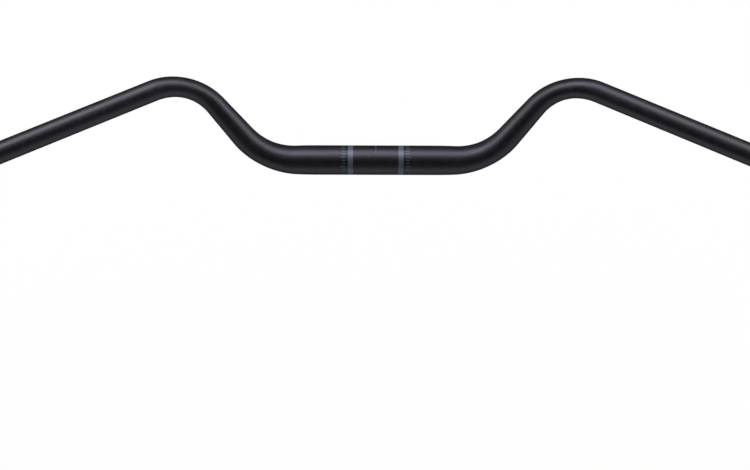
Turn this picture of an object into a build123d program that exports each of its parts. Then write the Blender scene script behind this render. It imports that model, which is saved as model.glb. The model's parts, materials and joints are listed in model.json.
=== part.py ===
"""Riser handlebar for a bicycle: one aluminium tube, swaged to a taper, butted inside and bent four times.

X runs along the bar to the right, Y is forwards and Z is up.
The origin is the middle of the stem clamp's seat.
Lengths are in millimetres and angles in degrees.
"""
from math import cos, pi, radians, sin
import os

from build123d import *

# Seats that other parts fit
overall_width = 800.0  # between the middles of the two end faces
clamp_diameter = 31.8
clamp_length = 128.0  # the middle of the bar, which is a true cylinder
grip_diameter = 22.2

# Centreline of a half: seat, shoulder, lower bend, rise, upper bend, grip
shoulder_length = 20.0  # straight, where the taper sets in
lower_bend_radius = 73.0
lower_bend_angle = 52.0
lower_bend_lean = 35.0  # of the bend's plane, forwards from upright
rise_length = 44.0  # straight, between the two bends
upper_bend_radius = 60.0
backsweep = 27.5
upsweep = 1.0

# Section of the tube
taper_runout = 14.0  # the length of the upper bend over which the taper fades out
lower_bend_flattening = 0.03  # the share of its radius that a bend's middle loses in the bend's plane
upper_bend_flattening = 0.045
clamp_wall = 2.6
grip_wall = 2.0
end_chamfer = 0.5  # inside and out, at most a third of the wall

# Sections that shape a bend, both ends counted: more where the taper fades out
lower_bend_sections = 3
upper_bend_sections = 8

clamp_radius = clamp_diameter / 2
grip_radius = grip_diameter / 2

# Headings of the right half, all unit vectors
outwards = Vector(1, 0, 0)
rising = Vector(
    cos(radians(lower_bend_angle)),
    sin(radians(lower_bend_angle)) * sin(radians(lower_bend_lean)),
    sin(radians(lower_bend_angle)) * cos(radians(lower_bend_lean)),
)
swept = Vector(
    cos(radians(backsweep)) * cos(radians(upsweep)),
    -sin(radians(backsweep)) * cos(radians(upsweep)),
    sin(radians(upsweep)),
)


def bend_line(start, heading, new_heading, radius):
    """The arc that turns the centreline from one heading to the next."""
    plane = Plane(origin=start, x_dir=heading, z_dir=heading.cross(new_heading))
    return (plane * JernArc((0, 0), (1, 0), radius, heading.get_angle(new_heading))).edge()


# Centreline, point by point
seat_end = outwards * (clamp_length / 2)
shoulder_end = seat_end + outwards * shoulder_length
lower_bend = bend_line(shoulder_end, outwards, rising, lower_bend_radius)
rise_start = lower_bend @ 1
rise_end = rise_start + rising * rise_length
upper_bend = bend_line(rise_end, rising, swept, upper_bend_radius)
grip_start = upper_bend @ 1
grip_length = (overall_width / 2 - grip_start.X) / swept.X

# Distances along the tube from the seat's end
lower_bend_at = shoulder_length
rise_at = lower_bend_at + lower_bend.length
upper_bend_at = rise_at + rise_length
grip_at = upper_bend_at + upper_bend.length


def set_in(distance, start, length):
    """How far a taper has run that sets in evenly: a parabola over the length, then a straight line."""
    within = min(max(distance - start, 0.0), length)
    return within**2 / (2 * length) + max(distance - start - length, 0.0)


def taper_run(distance):
    """The run of the taper, which sets in along the shoulder and fades out in the upper bend."""
    return set_in(distance, 0.0, shoulder_length) - set_in(distance, upper_bend_at, taper_runout)


def thinned(distance):
    """The share of the taper that has run at a distance from the seat's end."""
    return taper_run(distance) / taper_run(grip_at)


def outer_radius(distance):
    """The tube's radius at a distance from the seat's end."""
    return clamp_radius + (grip_radius - clamp_radius) * thinned(distance)


def wall(distance):
    """The butted wall, which thins as the tube does."""
    return clamp_wall + (grip_wall - clamp_wall) * thinned(distance)


def bore_radius(distance):
    """The radius inside the tube at a distance from the seat's end."""
    return outer_radius(distance) - wall(distance)


def turned(start, heading, outline):
    """A straight stretch: a closed outline of radius and height, turned about the heading."""
    profile = Plane.XZ * make_face(outline)
    return Plane(origin=start, z_dir=heading) * revolve(profile, Axis.Z)


def clamp_seat():
    """The straight middle that the stem holds."""
    bore = clamp_radius - clamp_wall
    outline = Polyline(
        (bore, 0.0),
        (clamp_radius, 0.0),
        (clamp_radius, clamp_length),
        (bore, clamp_length),
        close=True,
    )
    return turned(-seat_end, outwards, outline)


def setting_in(radius_at):
    """The three points of a shoulder's parabola, which leaves the seat straight."""
    start_radius = radius_at(0.0)
    end_radius = radius_at(shoulder_length)
    return [(start_radius, 0.0), (start_radius, shoulder_length / 2), (end_radius, shoulder_length)]


def shoulder():
    """The short straight stretch in which the taper sets in."""
    outside = setting_in(outer_radius)
    inside = setting_in(bore_radius)
    outline = [
        Bezier(*outside),
        Line(outside[-1], inside[-1]),
        Bezier(*reversed(inside)),
        Line(inside[0], outside[0]),
    ]
    return turned(seat_end, outwards, outline)


def bend(edge, start_at, flattening, sections):
    """A bent stretch, carried through round ends and sections that the bend has flattened in its plane."""
    across = (edge % 0).cross(edge % 1)
    outside = []
    inside = []
    for i in range(sections):
        share = i / (sections - 1)
        distance = start_at + share * edge.length
        plane = Plane(origin=edge @ share, x_dir=across, z_dir=edge % share)
        radius = outer_radius(distance)
        if 0 < share < 1:
            spread = flattening * radius * sin(pi * share) ** 2
            wide = radius + spread
            narrow = radius - spread
            outside.append(plane * Ellipse(wide, narrow))
            inside.append(plane * Ellipse(wide - wall(distance), narrow - wall(distance)))
        else:
            outside.append(plane * Circle(radius))
            inside.append(plane * Circle(bore_radius(distance)))
    return sweep(outside, path=edge, multisection=True) - sweep(inside, path=edge, multisection=True)


def rise():
    """The straight cone between the two bends."""
    outline = Polyline(
        (bore_radius(rise_at), 0.0),
        (outer_radius(rise_at), 0.0),
        (outer_radius(upper_bend_at), rise_length),
        (bore_radius(upper_bend_at), rise_length),
        close=True,
    )
    return turned(rise_start, rising, outline)


def grip():
    """The straight grip, with the edges of its open end broken inside and out."""
    bore = grip_radius - grip_wall
    broken = min(end_chamfer, grip_wall / 3)
    outline = Polyline(
        (bore, 0.0),
        (grip_radius, 0.0),
        (grip_radius, grip_length - broken),
        (grip_radius - broken, grip_length),
        (bore + broken, grip_length),
        (bore, grip_length - broken),
        close=True,
    )
    return turned(grip_start, swept, outline)


def handlebar():
    """The whole bar as one solid."""
    right_half = [
        shoulder(),
        bend(lower_bend, lower_bend_at, lower_bend_flattening, lower_bend_sections),
        rise(),
        bend(upper_bend, upper_bend_at, upper_bend_flattening, upper_bend_sections),
        grip(),
    ]
    left_half = [mirror(stretch, about=Plane.YZ) for stretch in right_half]
    return clamp_seat().fuse(*right_half, *left_half)


os.makedirs("parts", exist_ok=True)
export_step(handlebar(), "parts/handlebar.step")
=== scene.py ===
"""Riser handlebar in satin black with fine grey print at the clamp, on a white studio floor.

Lengths are in metres and angles in radians. X runs along the bar to the right, Y is forwards and Z is up.
The origin is the middle of the stem clamp's seat.
"""

from collections import namedtuple
import json
from math import asin, atan2, cos, pi, radians, sin

import bpy
import numpy as np
from mathutils import Matrix


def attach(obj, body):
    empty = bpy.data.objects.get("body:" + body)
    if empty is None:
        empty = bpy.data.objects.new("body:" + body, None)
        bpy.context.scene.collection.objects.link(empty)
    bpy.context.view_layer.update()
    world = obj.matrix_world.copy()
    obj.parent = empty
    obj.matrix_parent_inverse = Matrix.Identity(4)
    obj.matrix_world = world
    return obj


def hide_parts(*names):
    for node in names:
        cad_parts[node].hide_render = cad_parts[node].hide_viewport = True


bl_info = {
    "name": "Riser handlebar",
    "version": (1, 0, 0),
    "blender": (4, 5, 0),
    "location": "View3D > Sidebar > Handlebar",
    "description": "Builds a swept riser handlebar as one bent, tapered tube, with a studio stage round it",
    "category": "Object",
}

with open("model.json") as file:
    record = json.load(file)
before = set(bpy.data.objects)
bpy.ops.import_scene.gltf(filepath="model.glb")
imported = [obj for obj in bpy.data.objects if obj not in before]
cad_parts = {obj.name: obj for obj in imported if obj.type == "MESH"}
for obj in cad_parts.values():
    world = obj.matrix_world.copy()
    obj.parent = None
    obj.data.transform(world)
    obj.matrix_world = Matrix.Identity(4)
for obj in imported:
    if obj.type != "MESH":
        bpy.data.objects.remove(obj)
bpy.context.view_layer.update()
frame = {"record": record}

MM = 0.001
SURFACE_MAP = "TubeSurface"
BAKE_MAP = "OFBake"
DEPTH = "depth"

# Layers of detail in a noise, and where most of its values lie
FINE_DETAIL = 2.0
SLOW_DETAIL = 3.0
NOISE_LOW = 0.3
NOISE_HIGH = 0.7

# Strips of the flat map, in the order of the wall's seams, with their heights, and the gap between them
STRIPS = {
    "left arm": 0.15,
    "printed middle": 0.47,
    "right arm": 0.15,
    "right rim": 0.03,
    "bore": 0.13,
    "left rim": 0.03,
}
STRIP_GAP = 0.01

# Fine lines to set the stem by, on both sides: place and length along the bar, and turn from the top
StemLine = namedtuple("StemLine", "middle length turn")
STEM_LINES = (
    StemLine(middle=10.7 * MM, length=15.0 * MM, turn=radians(-7.5)),
    StemLine(middle=6.3 * MM, length=6.2 * MM, turn=radians(-15)),
    StemLine(middle=0.0, length=12.4 * MM, turn=radians(73.5)),
)

# A stretch of the centreline. Only a bend has an axis, a radius and flattening
Run = namedtuple("Run", "start length heading axis radius flattening")

mounts = {mount["name"]: mount for mount in frame["record"]["mounts"]}
clamp_seat = mounts["stem_clamp"]["dims"]
grip_seat = mounts["right_grip_seat"]["dims"]
end_bore = mounts["right_end_bore"]["dims"]
grip_axis = mounts["right_grip_seat"]["axis"]
end_wall = (grip_seat["r_mm"] - end_bore["r_mm"]) * MM
chamfer = 0.5 * MM


def length(name, description, default):
    """A size in metres."""
    return bpy.props.FloatProperty(
        name=name, description=description, default=default, precision=4, unit="LENGTH"
    )


def angle(name, description, default):
    """An angle in radians, shown in degrees."""
    return bpy.props.FloatProperty(name=name, description=description, default=default, subtype="ANGLE")


def share(name, description, default):
    """A share from 0 to 1."""
    return bpy.props.FloatProperty(
        name=name, description=description, default=default, min=0.0, max=1.0, subtype="FACTOR"
    )


def colour(name, description, default):
    """A colour as linear red, green and blue."""
    return bpy.props.FloatVectorProperty(
        name=name, description=description, default=default, min=0.0, max=1.0, subtype="COLOR"
    )


def amount(name, description, default):
    """A plain number."""
    return bpy.props.FloatProperty(name=name, description=description, default=default, min=0.0)


def count(name, description, default):
    """A whole number of steps."""
    return bpy.props.IntProperty(name=name, description=description, default=default, min=2)


class TubeSizes(bpy.types.PropertyGroup):
    """The bent tube's sizes."""

    clamp_diameter: length("Clamp diameter", "Across the stem clamp's seat", 2 * clamp_seat["r_mm"] * MM)
    clamp_length: length("Clamp length", "The middle that is a true cylinder", clamp_seat["length_mm"] * MM)
    clamp_wall: length("Clamp wall", "Thickness of the wall at the clamp", 2.6 * MM)
    shoulder_length: length("Shoulder", "Straight stretch in which the taper sets in", 20 * MM)
    lower_bend_radius: length("Lower bend radius", "Of the bend beside the clamp", 73 * MM)
    lower_bend_angle: angle("Lower bend", "How far the bend beside the clamp turns", radians(52))
    lower_bend_lean: angle("Lean", "Of the lower bend's plane, forwards from upright", radians(35))
    rise_length: length("Rise", "Straight stretch between the bends", 44 * MM)
    upper_bend_radius: length("Upper bend radius", "Of the bend beside the grip", 60 * MM)
    backsweep: angle("Backsweep", "Of the grip, towards the rider", atan2(-grip_axis[1], grip_axis[0]))
    upsweep: angle("Upsweep", "Of the grip, upwards", asin(grip_axis[2]))
    grip_diameter: length("Grip diameter", "Across the straight grip", 2 * grip_seat["r_mm"] * MM)
    grip_length: length("Grip length", "Of the straight grip", grip_seat["length_mm"] * MM + chamfer)
    grip_wall: length("Grip wall", "Thickness of the wall at the grip", end_wall)
    taper_runout: length("Taper runout", "Stretch of the upper bend over which the taper fades", 14 * MM)
    lower_bend_flattening: share("Lower flattening", "Share of its radius that the bend loses", 0.03)
    upper_bend_flattening: share("Upper flattening", "Share of its radius that the bend loses", 0.045)
    end_chamfer: length("End chamfer", "Broken edge of the open ends", chamfer)
    edge_ease: length("Edge ease", "How far each edge of the chamfer is rounded", 0.12 * MM)
    around_steps: count("Steps around", "Faces round the tube", 96)
    bend_steps: count("Steps in a bend", "Faces along each bend", 40)
    straight_steps: count("Steps in a straight", "Faces along each straight stretch", 12)
    ease_steps: count("Steps in an ease", "Faces across each eased edge of the rims", 3)


class Finish(bpy.types.PropertyGroup):
    """The anodised finish and the print on it."""

    anodised_colour: colour("Anodised colour", "Of the dyed metal", (0.0440, 0.0425, 0.0508))
    edge_colour: colour("Edge colour", "Tint of the metal seen at a slant", (0.335, 0.340, 0.318))
    print_colour: colour("Print colour", "Of the bands and marks", (0.100, 0.113, 0.148))
    bore_colour: colour("Bore colour", "Of the thinly dyed cut ends and bore", (0.11, 0.11, 0.115))
    thin_metal: share("Thin metal", "How metallic the print, the cut ends and the bore are", 0.6)
    thin_gloss: share("Thin gloss", "Gloss of their share that is not metallic", 0.0)
    roughness: share("Roughness", "Of the blasted skin", 0.44)
    roughness_spread: share("Roughness spread", "How far the roughness wanders each way", 0.03)
    colour_spread: share("Colour spread", "How far the dye's depth wanders each way", 0.28)
    grain_size: length("Grain size", "Of the blasted dimples", 0.35 * MM)
    grain_depth: length("Grain depth", "Of the blasted dimples", 0.012 * MM)
    speckle_size: length("Speckle size", "Of the fine changes in the dye", 0.9 * MM)
    mottle_size: length("Mottle size", "Of the slow changes in the dye", 9 * MM)
    mottle_share: share("Mottle share", "Share of the dye's changes that is slow", 0.3)
    print_reach: length("Print reach", "How far the print goes from the middle", 42 * MM)
    print_softness: length("Print softness", "How far the print's edges fade each way", 0.06 * MM)
    band_middle: length("Band place", "Middle of each band, from the bar's middle", 26.95 * MM)
    band_width: length("Band width", "Of each ring band", 5.5 * MM)
    scale_middle: length("Scale place", "Middle of each angle scale, from the bar's middle", 35.1 * MM)
    scale_width: length("Scale width", "Length of a scale's long marks", 5.0 * MM)
    scale_turn: angle("Scale turn", "Middle of each scale, from the top to the rider", radians(5))
    scale_span: angle("Scale span", "How far each scale goes round from its middle", radians(76))
    scale_step: angle("Scale step", "From one mark of the scale to the next", radians(12.5))
    long_every: count("Long every", "Steps from one long mark to the next", 3)
    short_share: share("Short share", "Length of a short mark, as a share of a long one", 0.6)
    mark_width: length("Mark width", "Breadth of a scale's marks", 1.1 * MM)
    centre_width: length("Centre width", "Breadth of the mark at the bar's middle", 1.3 * MM)
    centre_turn: angle("Centre turn", "Middle of that mark, from the top to the rider", radians(-27))
    centre_span: angle("Centre span", "How far that mark goes round from its middle", radians(27.5))
    line_width: length("Line width", "Breadth of the fine lines between the bands", 0.28 * MM)
    line_strength: share("Line strength", "Of the fine marks between the bands", 0.6)


class Stage(bpy.types.PropertyGroup):
    """The floor, the lights and the camera."""

    floor_drop: length("Floor drop", "Of the floor below the bar's middle", 0.40)
    floor_width: length("Floor width", "Of the square floor", 30.0)
    floor_colour: colour("Floor colour", "Of the pale floor", (0.75, 0.75, 0.75))
    # The floor's share of plain white is a painted pool of light: whitest near the bar, fading further off
    near_painted_white: share("Floor white", "Share of plain white that the floor shows near the bar", 0.94)
    far_painted_white: share("Far white", "Share of plain white that the floor shows further off", 0.50)
    painted_pool_reach: length("White reach", "How far from its middle the floor is at its whitest", 0.80)
    painted_pool_fade: length("White fade", "Length over which the floor's white fades", 2.50)
    light_distance: length("Light distance", "From the bar's middle to each softbox", 1.8)
    key_height: angle("Key height", "Of the overhead softbox above the front horizon", radians(64))
    key_length: length("Key length", "Of the overhead softbox along the bar", 3.0)
    key_breadth: length("Key breadth", "Of the overhead softbox across the bar", 1.15)
    key_power: amount("Key power", "In watts", 44.0)
    side_turn: angle("Side turn", "Of each side softbox from the front", radians(80))
    side_height: angle("Side height", "Of each side softbox above the horizon", radians(30))
    side_breadth: length("Side breadth", "Of each square side softbox", 1.15)
    side_power: amount("Side power", "In watts, of each", 16.5)
    accent_turn: angle("Accent turn", "Of the small softbox from the front, to the left", radians(42))
    accent_height: angle("Accent height", "Of the small softbox above the horizon", radians(58))
    accent_breadth: length("Accent breadth", "Of the small square softbox", 0.6)
    accent_power: amount("Accent power", "In watts", 3.2)
    horizon_colour: colour("Horizon", "Light from the walls", (0.515, 0.515, 0.515))
    ceiling_colour: colour("Ceiling", "Light from overhead", (0.04, 0.04, 0.04))
    ceiling_height: angle("Ceiling height", "Where the light of the walls has faded out", radians(30))
    corner_turn: angle("Corner turn", "Of the dim corner from the rider's side, to the left", radians(29))
    corner_height: angle("Corner height", "Of the dim corner's middle above the horizon", radians(15))
    corner_reach: angle("Corner reach", "From the dim corner's middle to the pale walls", radians(60))
    camera_distance: length("Camera distance", "From the bar's middle", 1.4)
    camera_height: angle("Camera height", "Of the camera above the rider's horizon", radians(59.5))
    camera_drop: angle("Camera drop", "How far below the bar the camera aims", radians(3.3))
    camera_roll: angle("Camera roll", "Turn of the picture", radians(0.19))
    camera_side: length("Camera side", "Of the camera's place from the middle", -0.5 * MM)
    camera_lens: amount("Lens", "Focal length in millimetres", 62.3)


def unit(vector):
    """A vector at a length of one."""
    return vector / np.linalg.norm(vector)


def right_half(sizes):
    """The right half's centreline as runs: the middle, lower bend, rise, upper bend and grip.

    A bend's axis is square to its two headings, and its length is its radius times the angle between them.
    """
    turn, lean = sizes.lower_bend_angle, sizes.lower_bend_lean
    back, up = sizes.backsweep, sizes.upsweep
    outwards = np.array([1.0, 0.0, 0.0])
    rising = np.array([cos(turn), sin(turn) * sin(lean), sin(turn) * cos(lean)])
    swept = np.array([cos(back) * cos(up), -sin(back) * cos(up), sin(up)])
    plan = (
        (sizes.clamp_length / 2 + sizes.shoulder_length, outwards, None, None, 0.0),
        (None, outwards, rising, sizes.lower_bend_radius, sizes.lower_bend_flattening),
        (sizes.rise_length, rising, None, None, 0.0),
        (None, rising, swept, sizes.upper_bend_radius, sizes.upper_bend_flattening),
        (sizes.grip_length, swept, None, None, 0.0),
    )
    runs = []
    start = 0.0
    for run_length, heading, new_heading, radius, flattening in plan:
        axis = None
        if new_heading is not None:
            across = np.cross(heading, new_heading)
            run_length = radius * atan2(np.linalg.norm(across), heading @ new_heading)
            axis = unit(across)
        runs.append(Run(start, run_length, heading, axis, radius, flattening))
        start += run_length
    return runs


def turned(vectors, axis, angles):
    """Vectors turned about a unit axis: v cos(a) + (axis x v) sin(a) + axis (axis . v) (1 - cos(a))."""
    across = np.cross(axis, vectors)
    along = (vectors @ axis)[:, None] * axis
    return vectors * np.cos(angles) + across * np.sin(angles) + along * (1 - np.cos(angles))


def set_in(distance, start, over):
    """How far a taper has run that sets in evenly: a parabola over a length, then a straight line."""
    within = np.clip(distance - start, 0.0, over)
    return within**2 / (2 * over) + np.maximum(distance - start - over, 0.0)


def thinned(sizes, runs, distance):
    """The share of the taper that has run: it sets in on the shoulder and fades out in the upper bend."""
    *_, upper_bend, grip = runs
    places = np.append(distance, grip.start)
    taper = set_in(places, sizes.clamp_length / 2, sizes.shoulder_length)
    taper -= set_in(places, upper_bend.start, sizes.taper_runout)
    return taper[:-1] / taper[-1]


def tube_points(sizes, distance, depth, around):
    """The tube's skin as a grid of stations by angles.

    A station is a signed distance along the tube from the middle and a depth below the outer skin.
    Each run adds its travel to the centreline: a straight its heading times the length run, and a bend
    r sin(a) along its heading and r (1 - cos(a)) towards its centre. The up and rider vectors turn with
    the bends. A point lies at the centreline plus (radius - depth) out, where out is
    cos(angle) up + sin(angle) rider. Flattening adds spread times 2 (axis . out) axis - out, which widens
    the section along the bend's axis and narrows it in the bend's plane. The left half is the mirror image.
    """
    runs = right_half(sizes)
    travelled = np.abs(distance)
    line = np.zeros((len(travelled), 3))
    up = np.zeros_like(line) + (0.0, 0.0, 1.0)
    rider = np.zeros_like(line) + (0.0, -1.0, 0.0)
    diameter_lost = (sizes.clamp_diameter - sizes.grip_diameter) * thinned(sizes, runs, travelled)
    radius = (sizes.clamp_diameter - diameter_lost) / 2
    flattened = []
    for run in runs:
        along = np.clip(travelled - run.start, 0.0, run.length)[:, None]
        if run.axis is None:
            line += along * run.heading
            continue
        turn = along / run.radius
        inwards = np.cross(run.axis, run.heading)
        line += run.radius * (np.sin(turn) * run.heading + (1 - np.cos(turn)) * inwards)
        up = turned(up, run.axis, turn)
        rider = turned(rider, run.axis, turn)
        spread = run.flattening * radius * np.sin(pi * along[:, 0] / run.length) ** 2
        flattened.append((run.axis, spread))
    out = np.cos(around)[:, None] * up[:, None] + np.sin(around)[:, None] * rider[:, None]
    points = line[:, None] + (radius - depth)[:, None, None] * out
    for axis, spread in flattened:
        points += spread[:, None, None] * (2 * (out @ axis)[..., None] * axis - out)
    points[..., 0] *= np.where(distance < 0, -1.0, 1.0)[:, None]
    return points


def wall_at(sizes, distance):
    """The butted wall's thickness, which thins as the tube does."""
    lost = (sizes.clamp_wall - sizes.grip_wall) * thinned(sizes, right_half(sizes), np.abs(distance))
    return sizes.clamp_wall - lost


def rim_reach(sizes):
    """How far back from the open end its rim begins: twice the chamfer, which leaves room to ease it."""
    return 2 * sizes.end_chamfer


def skin_stations(sizes, finish):
    """Distances of the outer skin's stations on the right half, closer together in the bends."""
    runs = right_half(sizes)
    bend_starts = [run.start for run in runs if run.axis is not None]
    ends = [0.0, finish.print_reach, sizes.clamp_length / 2]
    ends += [run.start for run in runs[1:]]
    ends.append(runs[-1].start + runs[-1].length - rim_reach(sizes))
    stations = [np.zeros(1)]
    for start, end in zip(ends[:-1], ends[1:]):
        steps = sizes.bend_steps if start in bend_starts else sizes.straight_steps
        stations.append(np.linspace(start, end, steps + 1)[1:])
    return np.concatenate(stations)


def rim_profile(sizes):
    """The open end's rim as distances back from the end and depths below the skin.

    Each of its four corners is eased by a parabola between the points a short way before and after it:
    (1 - t)^2 before + 2 t (1 - t) corner + t^2 after.
    """
    cut, wall, reach = sizes.end_chamfer, sizes.grip_wall, rim_reach(sizes)
    outer_edges = [(reach, 0.0), (cut, 0.0), (0.0, cut)]
    inner_edges = [(0.0, wall - cut), (cut, wall), (reach, wall)]
    line = np.array(outer_edges + inner_edges)
    corner = line[1:-1]
    before = corner + sizes.edge_ease * np.array([unit(way) for way in line[:-2] - corner])
    after = corner + sizes.edge_ease * np.array([unit(way) for way in line[2:] - corner])
    t = np.linspace(0.0, 1.0, sizes.ease_steps + 1)[:, None]
    eased = (1 - t) ** 2 * before[:, None] + 2 * t * (1 - t) * corner[:, None] + t**2 * after[:, None]
    return eased.reshape(-1, 2)


def wall_loop(sizes, finish):
    """Stations once round the wall's length: the skin left to right, a rim, the bore back and a rim.

    The bore has every second station of the skin. The seams are the stations where the left arm, the
    printed middle, the right arm, the right rim, the bore and the left rim begin, and the last one's end.
    """
    half = skin_stations(sizes, finish)
    skin = np.concatenate([-half[:0:-1], half])
    rim = rim_profile(sizes)
    end = half[-1] + rim_reach(sizes)
    bore = skin[::-2]
    distance = np.concatenate([skin, end - rim[:, 0], bore, rim[::-1, 0] - end])
    depth = np.concatenate([np.zeros_like(skin), rim[:, 1], wall_at(sizes, bore), rim[::-1, 1]])
    middle = len(half) - 1
    bore_start = len(skin) + len(rim)
    printed = (middle - sizes.straight_steps, middle + sizes.straight_steps)
    seams = (0, *printed, len(skin) - 1, bore_start, bore_start + len(bore) - 1, len(distance))
    return distance, depth, seams


def face_corners(row_starts, row_ends, columns):
    """Two values at the four corners of a closed grid's faces: the row's own, and the turn from 0 to 1."""
    low = np.arange(columns) / columns
    high = low + 1 / columns
    turn = np.stack((low, high, high, low), axis=-1)
    row = np.stack((row_starts, row_starts, row_ends, row_ends), axis=-1)
    return np.stack(np.broadcast_arrays(row[:, None], turn[None]), axis=-1)


def surface_map(distance, columns):
    """The map that the finish reads: the distance along the tube, and the turn from underneath."""
    return face_corners(distance, np.roll(distance, -1), columns)


def bake_map(points, seams):
    """A flat map with no overlaps: one strip for each part of the wall, the widest for the printed middle.

    Up a strip a point's place is its share of the strip's length, and across it the turn around the tube.
    """
    gap = STRIP_GAP
    steps = np.linalg.norm(np.roll(points[:, 0], -1, axis=0) - points[:, 0], axis=-1)
    travelled = np.append(0.0, np.cumsum(steps))
    strips = []
    low = gap
    for first, last, height in zip(seams[:-1], seams[1:], STRIPS.values()):
        place = (travelled[first : last + 1] - travelled[first]) / (travelled[last] - travelled[first])
        corners = face_corners(place[:-1], place[1:], points.shape[1])
        strips.append(np.array([gap, low]) + corners * np.array([1 - 2 * gap, height - gap]))
        low += height
    return np.concatenate(strips)


def closed_grid_mesh(name, points):
    """A mesh of a grid of points whose rows and columns both close, with its faces outwards."""
    rows, columns = points.shape[:2]
    corner = np.arange(rows * columns).reshape(rows, columns)
    beside = np.roll(corner, -1, axis=1)
    faces = np.stack((corner, beside, np.roll(beside, -1, axis=0), np.roll(corner, -1, axis=0)), axis=-1)
    mesh = bpy.data.meshes.new(name)
    mesh.from_pydata(points.reshape(-1, 3), [], faces.reshape(-1, 4), shade_flat=False)
    return mesh


def tube_mesh(sizes, finish):
    """The whole tube, with the maps that its finish and its bake read."""
    distance, depth, seams = wall_loop(sizes, finish)
    around = np.linspace(-pi, pi, sizes.around_steps, endpoint=False)
    points = tube_points(sizes, distance, depth, around)
    mesh = closed_grid_mesh("handlebar_tube", points)
    maps = {SURFACE_MAP: surface_map(distance, len(around)), BAKE_MAP: bake_map(points, seams)}
    for name, values in maps.items():
        layer = mesh.uv_layers.new(name=name)
        layer.uv.foreach_set("vector", values.astype(np.float32).ravel())
    attribute = mesh.attributes.new(DEPTH, "FLOAT", "POINT")
    attribute.data.foreach_set("value", np.repeat(depth, len(around)).astype(np.float32))
    return mesh


def add_node(tree, kind, inputs=None, **settings):
    """A node with its settings, and each input set to a value or fed by another node's output."""
    node = tree.nodes.new(kind)
    for name, value in settings.items():
        setattr(node, name, value)
    for key, value in (inputs or {}).items():
        if isinstance(value, bpy.types.NodeSocket):
            tree.links.new(value, node.inputs[key])
        else:
            node.inputs[key].default_value = value
    return node


def maths(tree, operation, first, second=0.0):
    """The result of one sum on two values."""
    return add_node(tree, "ShaderNodeMath", {0: first, 1: second}, operation=operation).outputs[0]


def ramped(tree, value, start, end, low, high, smooth=False):
    """A value's place between a start and an end, as a number from low to high."""
    inputs = {"Value": value, "From Min": start, "From Max": end, "To Min": low, "To Max": high}
    kind = "SMOOTHSTEP" if smooth else "LINEAR"
    return add_node(tree, "ShaderNodeMapRange", inputs, interpolation_type=kind).outputs[0]


def mixed_colour(tree, factor, first, second):
    """A colour between two others, at sockets 6 and 7 of Blender's node, with the mix at its output 2."""
    node = add_node(tree, "ShaderNodeMix", {0: factor, 6: first, 7: second}, data_type="RGBA")
    return node.outputs[2]


def near(tree, value, middle, half_width, softness):
    """One where a value lies within half a width of the middle, falling to nought over the softness."""
    offset = maths(tree, "ABSOLUTE", maths(tree, "SUBTRACT", value, middle))
    return ramped(tree, offset, half_width - softness, half_width + softness, 1.0, 0.0, smooth=True)


def all_of(tree, *masks):
    """Where every mask holds."""
    result = masks[0]
    for mask in masks[1:]:
        result = maths(tree, "MULTIPLY", result, mask)
    return result


def any_of(tree, *masks):
    """Where any mask holds."""
    result = masks[0]
    for mask in masks[1:]:
        result = maths(tree, "MAXIMUM", result, mask)
    return result


def print_mask(tree, sizes, finish):
    """One on the print at the clamp: a band and an angle scale each side, and fine marks between the bands.

    It reads the distance from the bar's middle and the turn from the top, towards the rider. A breadth round
    the bar, over the radius, is a turn.
    """
    place = add_node(tree, "ShaderNodeUVMap", uv_map=SURFACE_MAP).outputs["UV"]
    along, around, _ = add_node(tree, "ShaderNodeSeparateXYZ", {0: place}).outputs
    out = maths(tree, "ABSOLUTE", along)
    turn = maths(tree, "MULTIPLY", maths(tree, "SUBTRACT", around, 0.5), 2 * pi)
    radius = sizes.clamp_diameter / 2
    soft_turn = finish.print_softness / radius
    half_mark = finish.mark_width / 2 / radius
    half_line = finish.line_width / 2 / radius

    def ring(middle, width):
        """One within a width along the bar."""
        return near(tree, out, middle, width / 2, finish.print_softness)

    def arc(middle, span):
        """One within a span each way round the bar."""
        return near(tree, turn, middle, span, soft_turn)

    def marks(step):
        """One on marks that lie a step apart round the bar."""
        place_in_step = maths(tree, "FRACT", maths(tree, "DIVIDE", turn, step))
        return near(tree, place_in_step, 0.5, half_mark / step, soft_turn / step)

    band = ring(finish.band_middle, finish.band_width)
    short_length = finish.short_share * finish.scale_width
    short_middle = finish.scale_middle - (finish.scale_width - short_length) / 2
    short_marks = all_of(tree, ring(short_middle, short_length), marks(finish.scale_step))
    long_ring = ring(finish.scale_middle, finish.scale_width)
    long_marks = all_of(tree, long_ring, marks(finish.long_every * finish.scale_step))
    scale_arc = arc(finish.scale_turn, finish.scale_span)
    scale = all_of(tree, any_of(tree, short_marks, long_marks), scale_arc)
    lines = [all_of(tree, ring(line.middle, line.length), arc(line.turn, half_line)) for line in STEM_LINES]
    centre_arc = arc(finish.centre_turn, finish.centre_span)
    centre = all_of(tree, ring(0.0, finish.centre_width), centre_arc)
    fine = maths(tree, "MULTIPLY", any_of(tree, *lines, centre), finish.line_strength)
    return any_of(tree, band, scale, fine)


def bore_mask(tree, sizes):
    """The cut ends and the bore: one below the chamfer's depth, nought on the outer skin."""
    depth = add_node(tree, "ShaderNodeAttribute", attribute_name=DEPTH).outputs["Fac"]
    return ramped(tree, depth, 0.0, sizes.end_chamfer, 0.0, 1.0, smooth=True)


def noise(tree, size, detail):
    """A noise of a grain size in the object's own space."""
    place = add_node(tree, "ShaderNodeTexCoord").outputs["Object"]
    inputs = {"Vector": place, "Scale": 1 / size, "Detail": detail}
    return add_node(tree, "ShaderNodeTexNoise", inputs).outputs["Fac"]


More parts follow.
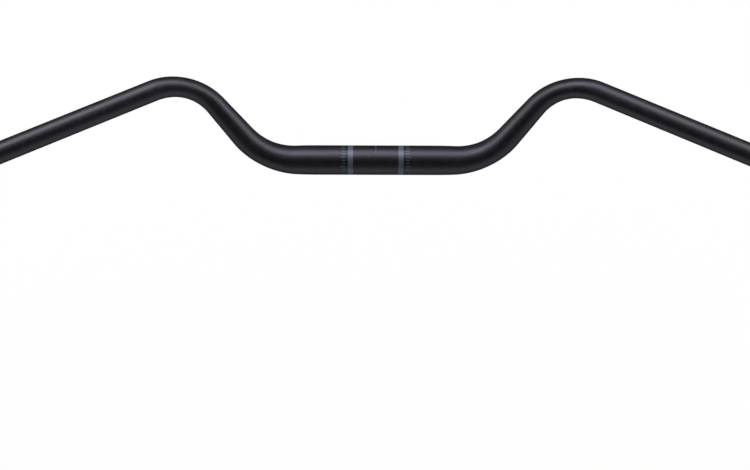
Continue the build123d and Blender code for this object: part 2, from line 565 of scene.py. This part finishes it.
def satin_anodised(sizes, finish):
    """Black dyed, bead blasted aluminium with grey print.

    The grain is a relief. The dye's depth wanders with a fine speckle and a slow mottle, and the roughness
    with the mottle. The print, the cut ends and the bore are less metallic.
    """
    material = bpy.data.materials.new("satin_anodised")
    material.use_nodes = True
    tree = material.node_tree
    shader = tree.nodes["Principled BSDF"]
    grain = noise(tree, finish.grain_size, FINE_DETAIL)
    speckle = noise(tree, finish.speckle_size, FINE_DETAIL)
    mottle = noise(tree, finish.mottle_size, SLOW_DETAIL)
    slow = maths(tree, "MULTIPLY", mottle, finish.mottle_share)
    fine = maths(tree, "MULTIPLY", speckle, 1 - finish.mottle_share)
    deep = [part * (1 - finish.colour_spread) for part in finish.anodised_colour]
    pale = [part * (1 + finish.colour_spread) for part in finish.anodised_colour]
    dye = mixed_colour(tree, maths(tree, "ADD", slow, fine), (*deep, 1.0), (*pale, 1.0))
    printed = print_mask(tree, sizes, finish)
    inside = bore_mask(tree, sizes)
    outside = mixed_colour(tree, printed, dye, (*finish.print_colour, 1.0))
    skin = mixed_colour(tree, inside, outside, (*finish.bore_colour, 1.0))
    thin = any_of(tree, printed, inside)
    low = finish.roughness - finish.roughness_spread
    high = finish.roughness + finish.roughness_spread
    roughness = ramped(tree, mottle, NOISE_LOW, NOISE_HIGH, low, high)
    metallic = ramped(tree, thin, 0.0, 1.0, 1.0, finish.thin_metal)
    relief = add_node(tree, "ShaderNodeBump", {"Distance": finish.grain_depth, "Height": grain})
    tree.links.new(skin, shader.inputs["Base Color"])
    tree.links.new(roughness, shader.inputs["Roughness"])
    tree.links.new(metallic, shader.inputs["Metallic"])
    tree.links.new(relief.outputs["Normal"], shader.inputs["Normal"])
    shader.inputs["Specular Tint"].default_value = (*finish.edge_colour, 1.0)
    shader.inputs["Specular IOR Level"].default_value = finish.thin_gloss
    return material


class HANDLEBAR_OT_tube(bpy.types.Operator):
    """Build the bent tube and its finish"""

    bl_idname = "handlebar.tube"
    bl_label = "Build the tube"

    def execute(self, context):
        sizes, finish = context.scene.handlebar_tube, context.scene.handlebar_finish
        tube = bpy.data.objects.new("handlebar_tube", tube_mesh(sizes, finish))
        context.scene.collection.objects.link(tube)
        tube.data.materials.append(satin_anodised(sizes, finish))
        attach(tube, "root")
        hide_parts("handlebar")
        return {"FINISHED"}


def pale_floor(stage):
    """A matt floor. To the camera and in reflections, a share of it is plain white: a painted pool of light,
    whitest near the bar and fading further off.
    """
    material = bpy.data.materials.new("pale_floor")
    material.use_nodes = True
    tree = material.node_tree
    tree.nodes.remove(tree.nodes["Principled BSDF"])
    matt = add_node(tree, "ShaderNodeBsdfDiffuse", {"Color": (*stage.floor_colour, 1.0)}).outputs[0]
    white = add_node(tree, "ShaderNodeEmission").outputs[0]
    rays = add_node(tree, "ShaderNodeLightPath").outputs
    seen = any_of(tree, rays["Is Camera Ray"], rays["Is Glossy Ray"], rays["Is Transmission Ray"])
    place = add_node(tree, "ShaderNodeTexCoord").outputs["Object"]
    away = add_node(tree, "ShaderNodeVectorMath", {0: place}, operation="LENGTH").outputs["Value"]
    fade = (stage.painted_pool_reach, stage.painted_pool_reach + stage.painted_pool_fade)
    # Painted pool of light: the share of plain white falls from near the bar to further off
    painted_pool_share = ramped(tree, away, *fade, stage.near_painted_white, stage.far_painted_white, smooth=True)
    shown = maths(tree, "MULTIPLY", seen, painted_pool_share)
    mix = add_node(tree, "ShaderNodeMixShader", {0: shown, 1: matt, 2: white})
    tree.links.new(mix.outputs[0], tree.nodes["Material Output"].inputs["Surface"])
    return material


def add_floor(stage, scene):
    """A flat square under the bar."""
    half = stage.floor_width / 2
    corners = [(-half, -half, 0.0), (half, -half, 0.0), (half, half, 0.0), (-half, half, 0.0)]
    mesh = bpy.data.meshes.new("floor")
    mesh.from_pydata(corners, [], [(0, 1, 2, 3)])
    mesh.materials.append(pale_floor(stage))
    floor = bpy.data.objects.new("floor", mesh)
    floor.location.z = -stage.floor_drop
    scene.collection.objects.link(floor)


def add_softbox(stage, scene, name, turn, height, size, power):
    """A softbox that faces the bar's middle, turned to the right from the front and raised."""
    light = bpy.data.lights.new(name, "AREA")
    light.shape = "RECTANGLE"
    light.size, light.size_y = size
    light.energy = power
    softbox = bpy.data.objects.new(name, light)
    swing = Matrix.Rotation(-turn, 4, "Z") @ Matrix.Rotation(height - pi / 2, 4, "X")
    softbox.matrix_world = swing @ Matrix.Translation((0.0, 0.0, stage.light_distance))
    scene.collection.objects.link(softbox)


def add_lights(stage, scene):
    """A long softbox over the bar's far side, a small one beside it and a low one at each side."""
    key = (stage.key_length, stage.key_breadth)
    accent = (stage.accent_breadth, stage.accent_breadth)
    side = (stage.side_breadth, stage.side_breadth)
    add_softbox(stage, scene, "key", 0.0, stage.key_height, key, stage.key_power)
    add_softbox(stage, scene, "accent", -stage.accent_turn, stage.accent_height, accent, stage.accent_power)
    for name, turn in (("left_side", -stage.side_turn), ("right_side", stage.side_turn)):
        add_softbox(stage, scene, name, turn, stage.side_height, side, stage.side_power)


def add_surround(stage, scene):
    """Light from all round: pale walls, a dim ceiling and a dim corner behind the camera."""
    world = bpy.data.worlds.new("surround")
    world.use_nodes = True
    tree = world.node_tree
    way = add_node(tree, "ShaderNodeTexCoord").outputs["Generated"]
    height = add_node(tree, "ShaderNodeSeparateXYZ", {0: way}).outputs["Z"]
    overhead = ramped(tree, height, 0.0, sin(stage.ceiling_height), 0.0, 1.0, smooth=True)
    turn, rise = stage.corner_turn, stage.corner_height
    corner = (-sin(turn) * cos(rise), -cos(turn) * cos(rise), sin(rise))
    nearness = add_node(tree, "ShaderNodeVectorMath", {0: way, 1: corner}, operation="DOT_PRODUCT")
    aside = ramped(tree, nearness.outputs["Value"], cos(stage.corner_reach), 1.0, 0.0, 1.0, smooth=True)
    dim = any_of(tree, overhead, aside)
    light = mixed_colour(tree, dim, (*stage.horizon_colour, 1.0), (*stage.ceiling_colour, 1.0))
    tree.links.new(light, tree.nodes["Background"].inputs["Color"])
    scene.world = world


def add_camera(stage, scene):
    """The camera on the rider's side, looking down and aiming a little below the bar."""
    lens = bpy.data.cameras.new("camera")
    lens.lens = stage.camera_lens
    camera = bpy.data.objects.new("camera", lens)
    back = stage.camera_distance * cos(stage.camera_height)
    height = stage.camera_distance * sin(stage.camera_height)
    tilt = Matrix.Rotation(pi / 2 - stage.camera_height - stage.camera_drop, 4, "X")
    roll = Matrix.Rotation(stage.camera_roll, 4, "Z")
    camera.matrix_world = Matrix.Translation((stage.camera_side, -back, height)) @ tilt @ roll
    scene.collection.objects.link(camera)
    scene.camera = camera


class HANDLEBAR_OT_stage(bpy.types.Operator):
    """Build the floor, the lights and the camera"""

    bl_idname = "handlebar.stage"
    bl_label = "Build the stage"

    def execute(self, context):
        stage = context.scene.handlebar_stage
        add_floor(stage, context.scene)
        add_lights(stage, context.scene)
        add_surround(stage, context.scene)
        add_camera(stage, context.scene)
        context.scene.view_settings.view_transform = "Standard"
        return {"FINISHED"}


class VIEW3D_PT_handlebar(bpy.types.Panel):
    """The bar's sizes, finish and stage"""

    bl_idname = "VIEW3D_PT_handlebar"
    bl_label = "Handlebar"
    bl_space_type = "VIEW_3D"
    bl_region_type = "UI"
    bl_category = "Handlebar"

    def draw(self, context):
        scene = context.scene
        sections = (
            (scene.handlebar_tube, HANDLEBAR_OT_tube.bl_idname),
            (scene.handlebar_finish, None),
            (scene.handlebar_stage, HANDLEBAR_OT_stage.bl_idname),
        )
        for group, operator in sections:
            box = self.layout.box()
            for name in group.__annotations__:
                box.prop(group, name)
            if operator:
                box.operator(operator)


classes = (TubeSizes, Finish, Stage, HANDLEBAR_OT_tube, HANDLEBAR_OT_stage, VIEW3D_PT_handlebar)
groups = {"handlebar_tube": TubeSizes, "handlebar_finish": Finish, "handlebar_stage": Stage}


def register():
    """Add the classes, and each group of values to the scene."""
    for cls in classes:
        bpy.utils.register_class(cls)
    for name, group in groups.items():
        setattr(bpy.types.Scene, name, bpy.props.PointerProperty(type=group))


def unregister():
    """Take the groups and the classes away again."""
    for name in groups:
        delattr(bpy.types.Scene, name)
    for cls in reversed(classes):
        bpy.utils.unregister_class(cls)


def main():
    """Build the bar and its stage."""
    register()
    bpy.ops.handlebar.tube()
    bpy.ops.handlebar.stage()


if __name__ == "__main__":
    main()
